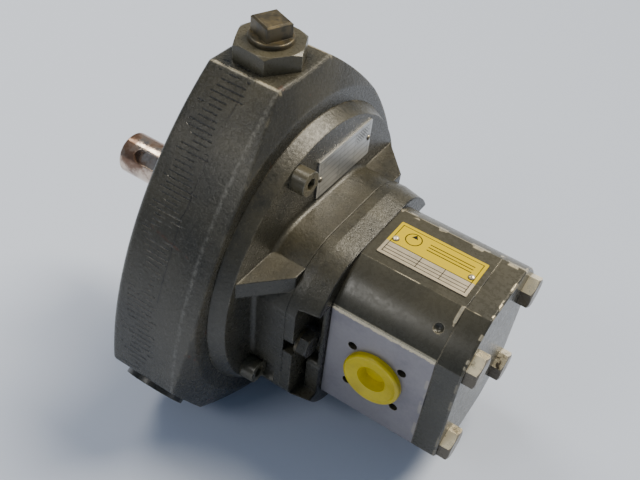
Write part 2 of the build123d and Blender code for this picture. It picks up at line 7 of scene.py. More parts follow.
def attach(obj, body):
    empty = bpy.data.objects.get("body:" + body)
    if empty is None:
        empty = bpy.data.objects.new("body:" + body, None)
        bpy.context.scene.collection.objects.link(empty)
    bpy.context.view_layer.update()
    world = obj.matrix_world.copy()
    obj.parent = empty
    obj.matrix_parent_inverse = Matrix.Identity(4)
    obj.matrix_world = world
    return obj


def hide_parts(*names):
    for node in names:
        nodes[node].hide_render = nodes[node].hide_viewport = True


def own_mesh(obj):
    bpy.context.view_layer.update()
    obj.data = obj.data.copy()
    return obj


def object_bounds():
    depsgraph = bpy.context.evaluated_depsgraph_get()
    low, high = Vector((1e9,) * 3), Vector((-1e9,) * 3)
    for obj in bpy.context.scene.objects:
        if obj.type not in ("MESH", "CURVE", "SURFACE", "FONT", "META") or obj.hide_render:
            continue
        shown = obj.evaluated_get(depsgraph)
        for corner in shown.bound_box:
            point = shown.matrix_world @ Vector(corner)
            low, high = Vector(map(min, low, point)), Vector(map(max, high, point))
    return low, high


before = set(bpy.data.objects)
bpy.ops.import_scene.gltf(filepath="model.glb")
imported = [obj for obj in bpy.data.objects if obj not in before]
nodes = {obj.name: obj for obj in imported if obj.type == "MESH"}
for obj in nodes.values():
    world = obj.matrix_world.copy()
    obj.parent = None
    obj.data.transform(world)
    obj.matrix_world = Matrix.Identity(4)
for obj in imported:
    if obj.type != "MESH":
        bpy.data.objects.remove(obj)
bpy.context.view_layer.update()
mm = 0.001
print("frame loaded:", len(nodes), "pieces")


# small helpers for building materials

def startMaterial(name):
    material = bpy.data.materials.new(name)
    material.use_nodes = True
    tree = material.node_tree
    place = tree.nodes.new("ShaderNodeTexCoord").outputs["Object"]
    return material, tree, tree.nodes["Principled BSDF"], place


def feed(tree, value, socket):
    if isinstance(value, bpy.types.NodeSocket):
        tree.links.new(value, socket)
    else:
        socket.default_value = value


def paint(colour):
    return (colour[0], colour[1], colour[2], 1.0)


def grain(tree, place, scale, detail=4.0, roughness=0.6, stretch=(1, 1, 1)):
    mapping = tree.nodes.new("ShaderNodeMapping")
    mapping.inputs["Scale"].default_value = stretch
    tree.links.new(place, mapping.inputs["Vector"])
    noise = tree.nodes.new("ShaderNodeTexNoise")
    noise.inputs["Scale"].default_value = scale
    noise.inputs["Detail"].default_value = detail
    noise.inputs["Roughness"].default_value = roughness
    tree.links.new(mapping.outputs["Vector"], noise.inputs["Vector"])
    return noise.outputs["Fac"]


def rise(tree, value, low, high, start=0.0, end=1.0):
    span = tree.nodes.new("ShaderNodeMapRange")
    span.interpolation_type = "SMOOTHSTEP"
    for socket, amount in zip(("From Min", "From Max", "To Min", "To Max"), (low, high, start, end)):
        span.inputs[socket].default_value = amount
    feed(tree, value, span.inputs["Value"])
    return span.outputs["Result"]


def sums(tree, operation, first, second=0.0):
    node = tree.nodes.new("ShaderNodeMath")
    node.operation = operation
    feed(tree, first, node.inputs[0])
    feed(tree, second, node.inputs[1])
    return node.outputs["Value"]


def mixed(tree, amount, first, second):
    node = tree.nodes.new("ShaderNodeMix")
    node.data_type = "RGBA"
    feed(tree, amount, node.inputs["Factor"])
    feed(tree, first if isinstance(first, bpy.types.NodeSocket) else paint(first), node.inputs["A"])
    feed(tree, second if isinstance(second, bpy.types.NodeSocket) else paint(second), node.inputs["B"])
    return node.outputs["Result"]


def product(tree, first, *others):
    for other in others:
        first = sums(tree, "MULTIPLY", first, other)
    return first


def largest(tree, first, *others):
    for other in others:
        first = sums(tree, "MAXIMUM", first, other)
    return first


def mottle(tree, place, noise, span, none=0.0, full=1.0):
    # a noise cut off below one end of its span and full above the other
    return rise(tree, grain(tree, place, *noise), *span, none, full)


def axes(tree, place):
    split = tree.nodes.new("ShaderNodeSeparateXYZ")
    tree.links.new(place, split.inputs["Vector"])
    return [product(tree, split.outputs[axis], 1 / mm) for axis in "XYZ"]


def facing(tree):
    # how far the surface looks along X, Y and Z
    geometry = tree.nodes.new("ShaderNodeNewGeometry")
    split = tree.nodes.new("ShaderNodeSeparateXYZ")
    tree.links.new(geometry.outputs["Normal"], split.inputs["Vector"])
    return [split.outputs[axis] for axis in "XYZ"]


def within(tree, value, low, high, soft=0.4):
    return product(tree, rise(tree, value, low - soft, low + soft),
                   rise(tree, value, high - soft, high + soft, 1.0, 0.0))


def roughen(tree, shader, height, strength, distance, under=None):
    bump = tree.nodes.new("ShaderNodeBump")
    bump.inputs["Strength"].default_value = strength
    bump.inputs["Distance"].default_value = distance * mm
    tree.links.new(height, bump.inputs["Height"])
    if under is not None:
        tree.links.new(under, bump.inputs["Normal"])
    tree.links.new(bump.outputs["Normal"], shader.inputs["Normal"])
    return bump.outputs["Normal"]


def rounded(tree, radius):
    # a softened edge: its normal, and how close an edge is
    bevel = tree.nodes.new("ShaderNodeBevel")
    bevel.samples = 4
    bevel.inputs["Radius"].default_value = radius * mm
    plain = tree.nodes.new("ShaderNodeNewGeometry")
    same = tree.nodes.new("ShaderNodeVectorMath")
    same.operation = "DOT_PRODUCT"
    tree.links.new(bevel.outputs["Normal"], same.inputs[0])
    tree.links.new(plain.outputs["Normal"], same.inputs[1])
    return bevel.outputs["Normal"], rise(tree, same.outputs["Value"], 0.90, 0.995, 1.0, 0.0)


# paint over rough castings
# a noise is its scale, detail and roughness, and a span is where the noise takes hold

castPaint = {
    "deep": (0.023, 0.022, 0.017),
    "pale": (0.040, 0.037, 0.026),
    "swell": (28.0, 3.0, 0.55),
    "swellSpan": (0.32, 0.68),
    "swellBump": 0.35,
    "swellDepth": 0.8,
    "grit": (520.0, 5.0, 0.7),
    "gritSpan": (0.3, 0.7),
    "gritBump": 0.5,
    "gritDepth": 0.55,
    "roughness": (0.22, 0.40),
    "specular": 0.50,
    # dust colour, which also paints warm light on up-facing surfaces
    "dust": (0.100, 0.088, 0.055),
    "dustAmount": 0.35,
    "dustAndTopLightFacing": (0.25, 0.95),
    "dustAndTopLightCloud": (60.0, 6.0, 0.75),
    "dustAndTopLightSpan": (0.30, 0.65),
    # colour of the painted glints
    "glint": (0.26, 0.24, 0.18),
    "glintAmount": 0.22,
    "glintFacing": (-0.1, 0.6, 0.25, 1.0),
    "glintGrain": (1700.0, 2.0, 0.5),
    "glintSpan": (0.60, 0.72),
    "worn": (0.40, 0.36, 0.26),
    "wornAmount": 0.30,
    "wornCloud": (110.0, 4.0, 0.7),
    "wornSpan": (0.44, 0.62),
    "edgeRadius": 1.1,
    "rust": (0.055, 0.028, 0.018),
    "rustCloud": (42.0, 5.0, 0.7),
    "rustSpan": (0.72, 0.77),
    "rustBreak": (180.0, 4.0, 0.6),
    "rustBreakSpan": (0.35, 0.6),
    "seams": ((75.3, 0.16), (92.1, 0.55)),     # where each joint line lies along X, and half its width
    "seamColour": (0.008, 0.008, 0.007),
    "seamAmount": 0.9,
}


def castMaterial(name, **changes):
    look = {**castPaint, **changes}
    material, tree, shader, place = startMaterial(name)
    x, y, z = axes(tree, place)
    across, along, up = facing(tree)
    swell = grain(tree, place, *look["swell"])
    grit = grain(tree, place, *look["grit"])
    colour = mixed(tree, rise(tree, swell, *look["swellSpan"]), look["deep"], look["pale"])
    # settled dust plus painted warm top light on whatever looks up
    dustAndTopLightMask = product(tree, rise(tree, up, *look["dustAndTopLightFacing"], 0.0, look["dustAmount"]),
                    mottle(tree, place, look["dustAndTopLightCloud"], look["dustAndTopLightSpan"]))
    colour = mixed(tree, dustAndTopLightMask, colour, look["dust"])
    # painted glints: bright grains on up-facing surfaces that stand in for highlights
    paintedGlints = product(tree, rise(tree, up, *look["glintFacing"]),
                     mottle(tree, place, look["glintGrain"], look["glintSpan"], 0.0, look["glintAmount"]))
    colour = mixed(tree, paintedGlints, colour, look["glint"])
    # paint worn thin along the edges
    soft, edges = rounded(tree, look["edgeRadius"])
    worn = product(tree, edges,
                   mottle(tree, place, look["wornCloud"], look["wornSpan"], 0.0, look["wornAmount"]))
    colour = mixed(tree, worn, colour, look["worn"])
    patches = product(tree, mottle(tree, place, look["rustCloud"], look["rustSpan"]),
                      mottle(tree, place, look["rustBreak"], look["rustBreakSpan"]))
    colour = mixed(tree, patches, colour, look["rust"])
    seam = largest(tree, *[within(tree, x, at - half, at + half, 0.08) for at, half in look["seams"]])
    colour = mixed(tree, product(tree, seam, look["seamAmount"]), colour, look["seamColour"])
    tree.links.new(rise(tree, grit, *look["gritSpan"], *look["roughness"]), shader.inputs["Roughness"])
    shader.inputs["Specular IOR Level"].default_value = look["specular"]
    smooth = roughen(tree, shader, swell, look["swellBump"], look["swellDepth"], soft)
    rough = roughen(tree, shader, grit, look["gritBump"], look["gritDepth"], smooth)
    return material, tree, shader, place, colour, (x, y, z), across, rough


casingLook = {
    "changes": {"edgeRadius": 2.2, "pale": (0.048, 0.044, 0.032), "roughness": (0.20, 0.34)},
    "rimFacing": (0.35, 0.75),
    "strokeSpan": (10.0, 22.5),
    "strokesPerRadian": 34.0,
    "strokeWidth": (0.07, 0.17),
    "strokeGaps": (50.0, 3.0, 0.6),
    "strokeGapSpan": (0.38, 0.52),
    "strokeEnds": (150.0, 1.0, 0.5),
    "strokeEndSpan": (0.3, 0.7),
    "strokeEndReach": (-5.0, 4.0),
    "strokeColour": (0.006, 0.006, 0.005),
    "strokeAmount": 0.85,
    "strokeBump": 0.9,
    "strokeDepth": 0.8,
    "rust": (0.070, 0.034, 0.020),
    "rustAngle": -1.02,
    "rustHalfWidth": 0.006,
    "rustLean": (0.0, 40.0, 0.0, 0.07),
    "rustSpan": (9.0, 36.0),
    "rustFrom": (37.5, 39.0),
    "rustSpots": (75.0, 3.0, 0.6),
    "rustSpotSpan": (0.66, 0.70),
    "rustBreak": (300.0, 3.0, 0.7),
    "rustBreakSpan": (0.42, 0.55),
    # pale specks painted on the rear half of the rim as glints
    "glintSpeckFrom": (23.0, 27.0),
    "glintSpeckColour": (0.20, 0.19, 0.16),
    "glintSpeckNoise": (1300.0, 3.0, 0.7),
    "glintSpeckSpan": (0.52, 0.70),
    "glintSpeckAmount": 0.35,
    "partingAt": 24.5,
    "partingHalf": 0.25,
    "partingWander": (90.0, 3.0, 0.6),
    "partingReach": (-0.7, 0.7),
    "partingBreak": (18.0, 2.0, 0.6),
    "partingBreakSpan": (0.46, 0.54),
    "partingColour": (0.015, 0.012, 0.010),
    # a painted highlight along the edges of the top land
    "landSpan": (19.9, 21.3),
    "landFrom": (101.5, 103.5),
    "landBreak": (130.0, 4.0, 0.8),
    "landBreakSpan": (0.36, 0.56),
    "landHighlightColour": (0.46, 0.40, 0.27),
    "landHighlightAmount": 0.8,
    # a painted highlight streak along the rear corner of the rim
    "cornerSpan": (38.8, 40.6),
    "cornerBreak": (480.0, 4.0, 0.8),
    "cornerBreakSpan": (0.40, 0.62),
    "cornerHighlightColour": (0.32, 0.31, 0.28),
    "cornerHighlightAmount": 0.30,
}


def casingMaterial():
    look = casingLook
    material, tree, shader, place, colour, (x, y, z), across, rough = castMaterial(
        "casingPaint", **look["changes"])
    rim = rise(tree, sums(tree, "ABSOLUTE", across), *look["rimFacing"], 1.0, 0.0)
    angle = sums(tree, "ARCTAN2", y, z)
    # evenly spaced scored lines across the front half of the rim, some short and some missing
    count = product(tree, angle, look["strokesPerRadian"])
    phase = sums(tree, "ABSOLUTE", sums(tree, "SUBTRACT", sums(tree, "FRACT", count), 0.5))
    ends = mottle(tree, place, look["strokeEnds"], look["strokeEndSpan"], *look["strokeEndReach"])
    strokes = product(tree, rise(tree, phase, *look["strokeWidth"], 1.0, 0.0),
                      mottle(tree, place, look["strokeGaps"], look["strokeGapSpan"]), rim,
                      within(tree, sums(tree, "ADD", x, ends), *look["strokeSpan"], 0.6))
    colour = mixed(tree, product(tree, strokes, look["strokeAmount"]), colour, look["strokeColour"])
    roughen(tree, shader, sums(tree, "SUBTRACT", 1.0, strokes), look["strokeBump"], look["strokeDepth"],
            rough)
    # a thin streak of rust across the rim and spots where the adaptor seats
    streak = sums(tree, "ADD", angle, rise(tree, x, *look["rustLean"]))
    streak = product(tree, within(tree, streak, look["rustAngle"] - look["rustHalfWidth"],
                                  look["rustAngle"] + look["rustHalfWidth"], 0.004),
                     within(tree, x, *look["rustSpan"], 2.0))
    spots = product(tree, rise(tree, x, *look["rustFrom"]),
                    mottle(tree, place, look["rustSpots"], look["rustSpotSpan"]))
    rust = product(tree, largest(tree, streak, spots),
                   mottle(tree, place, look["rustBreak"], look["rustBreakSpan"]))
    colour = mixed(tree, rust, colour, look["rust"])
    # painted glints: pale specks on the rear half of the rim
    paintedSpecks = product(tree, mottle(tree, place, look["glintSpeckNoise"], look["glintSpeckSpan"]), rim,
                   rise(tree, x, *look["glintSpeckFrom"]), look["glintSpeckAmount"])
    colour = mixed(tree, paintedSpecks, colour, look["glintSpeckColour"])
    # parting line between the two halves, broken up along its length
    wander = mottle(tree, place, look["partingWander"], (0.3, 0.7), *look["partingReach"])
    line = within(tree, sums(tree, "ADD", x, wander), look["partingAt"] - look["partingHalf"],
                  look["partingAt"] + look["partingHalf"], 0.2)
    line = product(tree, line, rim, mottle(tree, place, look["partingBreak"], look["partingBreakSpan"]))
    colour = mixed(tree, line, colour, look["partingColour"])
    # painted highlights: the edges of the top land and the rear corner of the rim are painted pale
    land = product(tree, within(tree, sums(tree, "ABSOLUTE", y), *look["landSpan"], 0.4),
                   rise(tree, z, *look["landFrom"]),
                   mottle(tree, place, look["landBreak"], look["landBreakSpan"]), look["landHighlightAmount"])
    colour = mixed(tree, land, colour, look["landHighlightColour"])
    # painted highlight streak along the rear corner of the rim
    corner = product(tree, within(tree, x, *look["cornerSpan"], 0.6), rim,
                     mottle(tree, place, look["cornerBreak"], look["cornerBreakSpan"]),
                     look["cornerHighlightAmount"])
    colour = mixed(tree, corner, colour, look["cornerHighlightColour"])
    tree.links.new(colour, shader.inputs["Base Color"])
    return material


def plainCast(name, **changes):
    material, tree, shader, place, colour, spot, across, rough = castMaterial(name, **changes)
    tree.links.new(colour, shader.inputs["Base Color"])
    return material


# satin paint on the gear body and rear cover, bare where the port faces are machined

bodyPaint = {
    "deep": (0.034, 0.033, 0.026),
    "pale": (0.052, 0.049, 0.036),
    "specular": 0.45,
    "cloud": (34.0, 4.0, 0.6),
    "fine": (420.0, 4.0, 0.6),
    "roughness": (0.22, 0.34),
    # dust colour, which also paints warm light on up-facing surfaces
    "dust": (0.095, 0.084, 0.053),
    "dustAmount": 0.45,
    "dustAndTopLightCloud": (22.0, 3.0, 0.5),
    "dustAndTopLightSpan": (0.10, 0.80),
    "bare": (0.30, 0.285, 0.30),
    "bareStain": (0.22, 0.21, 0.235),
    "bareCloud": (30.0, 5.0, 0.7),
    "bareSpan": (0.42, 0.75),
    "bareRoughness": 0.20,
    "portFace": (42.40, 42.50),
    "chip": (0.66, 0.58, 0.42),
    "stripSpan": (16.7, 20.0),
    "stripFrom": (41.7, 42.1),
    "stripRagged": (260.0, 4.0, 0.8),
    "flakes": (105.0, 2.0, 0.5),
    "flakeSpan": (0.55, 0.58),
    "rearEdge": (148.0, 149.6),
    "farEdge": (18.6, 22.0),
    "farEdgeFrom": (34.0, 35.5),
    "coverEdge": (162.4, 164.0),
    "scribedSpan": (20.1, 20.6),
    "scribedFrom": (35.6, 36.3),
    "scribedBreak": (40.0, 3.0, 0.6),
    "scribedBreakSpan": (0.44, 0.52),
    "seams": ((149.75, 150.35, 0.12), (92.0, 92.8, 0.1)),
    "seamColour": (0.01, 0.01, 0.009),
    "seamAmount": 0.85,
    "edgeRadius": 0.8,
    "edgeCloud": (45.0, 3.0, 0.6),
    "edgeSpan": (0.40, 0.55),
    "edgeAmount": 0.55,
    "metal": 0.75,
}


def bodyMaterial(name, bareSides):
    look = bodyPaint
    material, tree, shader, place = startMaterial(name)
    x, y, z = axes(tree, place)
    across, along, up = facing(tree)
    side = sums(tree, "ABSOLUTE", y)
    cloud = grain(tree, place, *look["cloud"])
    fine = grain(tree, place, *look["fine"])
    colour = mixed(tree, rise(tree, cloud, 0.3, 0.7), look["deep"], look["pale"])
    # settled dust plus painted warm top light on whatever looks up
    dustAndTopLightMask = product(tree, rise(tree, up, 0.4, 1.0, 0.0, look["dustAmount"]),
                    mottle(tree, place, look["dustAndTopLightCloud"], look["dustAndTopLightSpan"]))
    colour = mixed(tree, dustAndTopLightMask, colour, look["dust"])
    # bare metal on the port faces
    bare = product(tree, rise(tree, side, *look["portFace"], 0.0, bareSides),
                   rise(tree, sums(tree, "ABSOLUTE", along), 0.9, 0.97))
    stained = mixed(tree, mottle(tree, place, look["bareCloud"], look["bareSpan"]), look["bare"],
                    look["bareStain"])
    colour = mixed(tree, bare, colour, stained)
    # bright strip where the port face meets the painted shoulder, ragged below
    ragged = mottle(tree, place, look["stripRagged"], (0.3, 0.7), 0.0, 1.2)
    strip = product(tree, within(tree, sums(tree, "ADD", z, ragged), *look["stripSpan"], 0.2),
                    rise(tree, side, *look["stripFrom"], 0.0, bareSides))
    colour = mixed(tree, strip, colour, look["chip"])
    # flaked paint along the rear joint, the far top edge and the cover's rim
    farEdge = product(tree, within(tree, y, *look["farEdge"], 0.5), rise(tree, z, *look["farEdgeFrom"]))
    coverEdge = product(tree, within(tree, x, *look["coverEdge"], 0.4),
                        rise(tree, sums(tree, "ABSOLUTE", across), 0.5, 0.9, 1.0, 0.0))
    worn = product(tree, largest(tree, within(tree, x, *look["rearEdge"], 0.3), farEdge, coverEdge),
                   mottle(tree, place, look["flakes"], look["flakeSpan"]), rise(tree, up, -0.2, 0.4))
    scribed = product(tree, within(tree, side, *look["scribedSpan"], 0.12),
                      rise(tree, z, *look["scribedFrom"]),
                      mottle(tree, place, look["scribedBreak"], look["scribedBreakSpan"]))
    seam = largest(tree, *[within(tree, x, *span) for span in look["seams"]])
    colour = mixed(tree, product(tree, seam, look["seamAmount"]), colour, look["seamColour"])
    soft, edges = rounded(tree, look["edgeRadius"])
    edges = product(tree, edges, rise(tree, up, -0.3, 0.4),
                    mottle(tree, place, look["edgeCloud"], look["edgeSpan"], 0.0, look["edgeAmount"]))
    worn = largest(tree, worn, scribed, edges)
    colour = mixed(tree, worn, colour, look["chip"])
    tree.links.new(colour, shader.inputs["Base Color"])
    shader.inputs["Specular IOR Level"].default_value = look["specular"]
    shine = product(tree, largest(tree, bare, strip, worn), look["metal"])
    tree.links.new(shine, shader.inputs["Metallic"])
    dull = sums(tree, "ADD", rise(tree, fine, 0.3, 0.7, *look["roughness"]),
                product(tree, bare, look["bareRoughness"]))
    tree.links.new(dull, shader.inputs["Roughness"])
    smooth = roughen(tree, shader, cloud, 0.12, 0.3, soft)
    roughen(tree, shader, fine, 0.18, 0.08, smooth)
    return material


# steels, plastics and rubber

steel = {
    "stainSpan": (0.45, 0.70), "cloud": (120.0, 5.0, 0.7), "marks": (500.0, 3.0, 0.6), "metal": 1.0,
    "stainMetal": 0.6, "edgeRadius": 0.4, "bump": 0.15,
}


def metalMaterial(name, changes):
    look = {**steel, **changes}
    material, tree, shader, place = startMaterial(name)
    cloud = grain(tree, place, *look["cloud"])
    marks = grain(tree, place, *look["marks"])
    stained = rise(tree, cloud, *look["stainSpan"])
    if "sideGrimeAndShade" in look:
        # residue stays wherever a hand or rag doesn't rub the top, and the same darkening paints shade on
        # the sides
        up = facing(tree)[2]
        stained = largest(tree, stained, rise(tree, up, 0.45, 0.85, look["sideGrimeAndShade"], 0.0))
    colour = mixed(tree, stained, look["clean"], look["stain"])
    tree.links.new(colour, shader.inputs["Base Color"])
    tree.links.new(rise(tree, marks, 0.3, 0.7, *look["roughness"]), shader.inputs["Roughness"])
    metal = rise(tree, stained, 0.0, 1.0, look["metal"], look["stainMetal"])
    tree.links.new(metal, shader.inputs["Metallic"])
    soft, edges = rounded(tree, look["edgeRadius"])
    roughen(tree, shader, marks, look["bump"], 0.05, soft)
    return material


boltSteel = {
    "clean": (0.95, 0.83, 0.58), "stain": (0.055, 0.044, 0.030), "stainSpan": (0.52, 0.64),
    "roughness": (0.22, 0.36), "cloud": (85.0, 5.0, 0.7), "metal": 0.6, "stainMetal": 0.12,
    # sides darkened by residue and painted shade
    "marks": (260.0, 3.0, 0.6), "sideGrimeAndShade": 0.95,
}
shaftSteel = {
    "clean": (0.66, 0.55, 0.46), "stain": (0.18, 0.105, 0.07), "stainSpan": (0.42, 0.64),
    "roughness": (0.10, 0.22), "cloud": (36.0, 5.0, 0.7),
    "marks": (900.0, 3.0, 0.6, (1.0, 0.12, 0.12)),
}
blackSteel = {
    "clean": (0.055, 0.052, 0.050), "stain": (0.10, 0.035, 0.040), "stainSpan": (0.58, 0.66),
    "roughness": (0.34, 0.55), "cloud": (110.0, 5.0, 0.7), "metal": 0.7, "stainMetal": 0.2,
}
brassWear = {
    "clean": (0.17, 0.13, 0.065), "stain": (0.050, 0.042, 0.025), "stainSpan": (0.38, 0.60),
    "roughness": (0.28, 0.48), "cloud": (95.0, 5.0, 0.7), "metal": 0.5, "stainMetal": 0.2,
    "sideGrimeAndShade": 0.6,
}
bronzeLook = {
    "clean": (0.46, 0.33, 0.15), "stain": (0.24, 0.16, 0.08), "roughness": (0.25, 0.4),
}
aluminiumLook = {
    "clean": (0.60, 0.60, 0.61), "stain": (0.38, 0.38, 0.39), "roughness": (0.28, 0.45),
}


def plasticMaterial(name, look):
    material, tree, shader, place = startMaterial(name)
    cloud = grain(tree, place, 70.0, 5.0, 0.65)
    fine = grain(tree, place, 640.0, 3.0, 0.6)
    colour = mixed(tree, rise(tree, cloud, 0.35, 0.70), look["clean"], look["dull"])
    dirt = mottle(tree, place, (190.0, 5.0, 0.8), (0.62, 0.72), 0.0, look["wear"])
    colour = mixed(tree, dirt, colour, look["dirt"])
    tree.links.new(colour, shader.inputs["Base Color"])
    tree.links.new(rise(tree, fine, 0.3, 0.7, *look["roughness"]), shader.inputs["Roughness"])
    roughen(tree, shader, fine, 0.12, 0.05)
    return material


capYellow = {
    "clean": (0.66, 0.52, 0.0), "dull": (0.50, 0.385, 0.0), "dirt": (0.12, 0.10, 0.04), "wear": 0.35,
    "roughness": (0.30, 0.44),
}
sealBlack = {
    "clean": (0.018, 0.018, 0.018), "dull": (0.032, 0.031, 0.030), "dirt": (0.12, 0.10, 0.04),
    "wear": 0.0, "roughness": (0.5, 0.7),
}


# plates: frames, ruled lines and a plain pump symbol, with no lettering

def ruled(tree, value, lines, half):
    total = 0.0
    for at in lines:
        total = sums(tree, "MAXIMUM", within(tree, value, at - half, at + half, 0.08), total)
    return total


labelLook = {
    "yellow": (0.66, 0.48, 0.0),
    "silver": (0.46, 0.40, 0.30),
    "ink": (0.012, 0.012, 0.012),
    "grime": (0.28, 0.25, 0.16),
    "wear": (160.0, 5.0, 0.75),
    "split": (-4.9, -4.7),
    "frameX": (99.2, 145.4),
    "frameY": (-13.0, 9.9),
    "rules": (-12.6, -10.4, -8.2, -4.8, 9.6),
    "posts": (99.5, 118.0, 131.0, 145.1),
    "bars": (1.2, 3.4, 5.6),
    "barSpan": (117.0, 142.0),
    "symbolAt": (108.6, 3.4),
    "symbolRadius": 4.2,
    "specular": 0.12,
    "silverMetal": 0.65,
    "roughness": (0.38, 0.55),
}


def labelMaterial():
    look = labelLook
    material, tree, shader, place = startMaterial("labelFoil")
    x, y, z = axes(tree, place)
    worn = grain(tree, place, *look["wear"])
    colour = mixed(tree, rise(tree, y, *look["split"]), look["silver"], look["yellow"])
    inside = product(tree, within(tree, x, *look["frameX"], 0.1), within(tree, y, *look["frameY"], 0.1))
    lines = ruled(tree, y, look["rules"], 0.22)
    posts = product(tree, ruled(tree, x, look["posts"], 0.20), rise(tree, y, *look["split"], 1.0, 0.0))
    ends = ruled(tree, x, (look["posts"][0], look["posts"][-1]), 0.22)
    dx = sums(tree, "SUBTRACT", x, look["symbolAt"][0])
    dy = sums(tree, "SUBTRACT", y, look["symbolAt"][1])
    away = sums(tree, "SQRT", sums(tree, "ADD", product(tree, dx, dx), product(tree, dy, dy)))
    ring = within(tree, away, look["symbolRadius"] - 0.3, look["symbolRadius"] + 0.3, 0.1)
    # the filled triangle that marks a pump, pointing outwards
    lean = sums(tree, "ADD", product(tree, sums(tree, "ABSOLUTE", dx), 1.6), dy)
    wedge = product(tree, within(tree, lean, 1.0, 3.9, 0.1), rise(tree, dy, 0.9, 1.1))
    bars = product(tree, ruled(tree, y, look["bars"], 0.30), within(tree, x, *look["barSpan"], 0.2))
    marks = product(tree, largest(tree, lines, posts, ends, ring, wedge, bars), inside,
                    rise(tree, worn, 0.30, 0.42, 0.35, 1.0))
    colour = mixed(tree, marks, colour, look["ink"])
    colour = mixed(tree, rise(tree, worn, 0.60, 0.78, 0.0, 0.5), colour, look["grime"])
    tree.links.new(colour, shader.inputs["Base Color"])
    shader.inputs["Specular IOR Level"].default_value = look["specular"]
    tree.links.new(rise(tree, y, *look["split"], look["silverMetal"], 0.0), shader.inputs["Metallic"])
    tree.links.new(rise(tree, worn, 0.3, 0.7, *look["roughness"]), shader.inputs["Roughness"])
    roughen(tree, shader, worn, 0.10, 0.06)
    return material


plateLook = {
    "metal": (0.46, 0.46, 0.455),
    "tarnish": (0.24, 0.24, 0.22),
    "ink": (0.035, 0.035, 0.035),
    "inkAmount": 0.8,
    "wear": (150.0, 5.0, 0.75),
    "rules": (44.6, 48.2, 51.8, 55.4, 59.0, 62.2),
    "posts": (-5.4, 12.0, 26.5, 40.0),
    "ruleHalf": 0.16,
    "hatchPitch": 3.4,
    "hatchY": (27.5, 39.0),
    "hatchZ": (56.0, 62.0),
    "frameY": (-6.0, 40.6),
    "frameZ": (43.4, 63.0),
    "roughness": (0.28, 0.45),
}


def plateMaterial():
    look = plateLook
    material, tree, shader, place = startMaterial("engravedPlate")
    x, y, z = axes(tree, place)
    worn = grain(tree, place, *look["wear"])
    lines = largest(tree, ruled(tree, z, look["rules"], look["ruleHalf"]),
                    ruled(tree, y, look["posts"], look["ruleHalf"]))
    slant = product(tree, sums(tree, "ADD", y, z), look["hatchPitch"])
    hatch = product(tree, rise(tree, sums(tree, "SINE", slant), 0.0, 0.4),
                    within(tree, y, *look["hatchY"], 0.2), within(tree, z, *look["hatchZ"], 0.2))
    inside = product(tree, within(tree, y, *look["frameY"], 0.1), within(tree, z, *look["frameZ"], 0.1))
    marks = product(tree, largest(tree, lines, hatch), inside)
    colour = mixed(tree, rise(tree, worn, 0.5, 0.75), look["metal"], look["tarnish"])
    colour = mixed(tree, product(tree, marks, look["inkAmount"]), colour, look["ink"])
    tree.links.new(colour, shader.inputs["Base Color"])
    tree.links.new(rise(tree, marks, 0.0, 1.0, 0.85, 0.2), shader.inputs["Metallic"])
    tree.links.new(rise(tree, worn, 0.3, 0.7, *look["roughness"]), shader.inputs["Roughness"])
    roughen(tree, shader, worn, 0.10, 0.06)
    return material


finishes = {
    "casing": casingMaterial(),
    "adaptor": plainCast("adaptorPaint", dustAmount=0.45, gritDepth=0.45),
    "flange": plainCast("flangePaint", dustAmount=0.45, gritDepth=0.45),
    "cover": plainCast("frontCoverPaint", dustAmount=0.2),
    "hexPaint": plainCast("hexPaint", deep=(0.050, 0.046, 0.031), pale=(0.085, 0.074, 0.046),
                          gritDepth=0.08, swellDepth=0.2, rustSpan=(0.74, 0.79), edgeRadius=0.6,
                          wornAmount=0.7),
    # bolts in the castings' dark paint, darkened a little further as painted shade
    "boltPaintAndShade": plainCast("boltPaintAndShade", deep=(0.018, 0.018, 0.017), pale=(0.038, 0.036, 0.030),
                         gritDepth=0.06, swellDepth=0.1, edgeRadius=0.5, wornAmount=0.5),
    "body": bodyMaterial("bodyPaint", 1.0),
    "rearCover": bodyMaterial("coverPaint", 0.0),
    "bolt": metalMaterial("wornZinc", boltSteel),
    "shaft": metalMaterial("groundSteel", shaftSteel),
    "black": metalMaterial("blackSteel", blackSteel),
    "brass": metalMaterial("wornPlug", brassWear),
    "bronze": metalMaterial("bearingBronze", bronzeLook),
    "aluminium": metalMaterial("machinedAluminium", aluminiumLook),
    "yellow": plasticMaterial("capPlastic", capYellow),
    "rubber": plasticMaterial("sealRubber", sealBlack),
    "label": labelMaterial(),
    "plate": plateMaterial(),
}
print("finishes made:", len(finishes))

finishOf = {
    "casing": "casing", "adaptor": "adaptor", "pump_flange": "flange", "front_cover": "cover",
    "hex_reducer": "hexPaint", "gear_body": "body", "rear_cover": "rearCover", "vent_plug": "brass",
    "cover_bolts": "bolt", "flange_bolts": "boltPaintAndShade", "flange_washers": "brass",
    "front_cover_screws": "black", "adaptor_screws": "black", "lower_plugs": "boltPaintAndShade",
    "shaft_circlip": "black", "plug_seals": "bronze",
    "eccentric_bush": "bronze", "bearing_bushes": "bronze", "front_bearing_cage": "bronze",
    "rear_bearing_cage": "bronze", "front_bearing_block": "aluminium", "rear_bearing_block": "aluminium",
    "port_cap_near": "yellow", "port_cap_far": "yellow", "name_plate": "plate", "type_label": "label",
    "label_rivets": "bolt", "name_plate_rivets": "bolt",
}
for name, node in nodes.items():
    finish = finishOf.get(name, "rubber" if "seal" in name else "shaft")
    node.data.materials.clear()
    node.data.materials.append(finishes[finish])


# screws and rivets, each set grown on the seats of the solids that it stands for

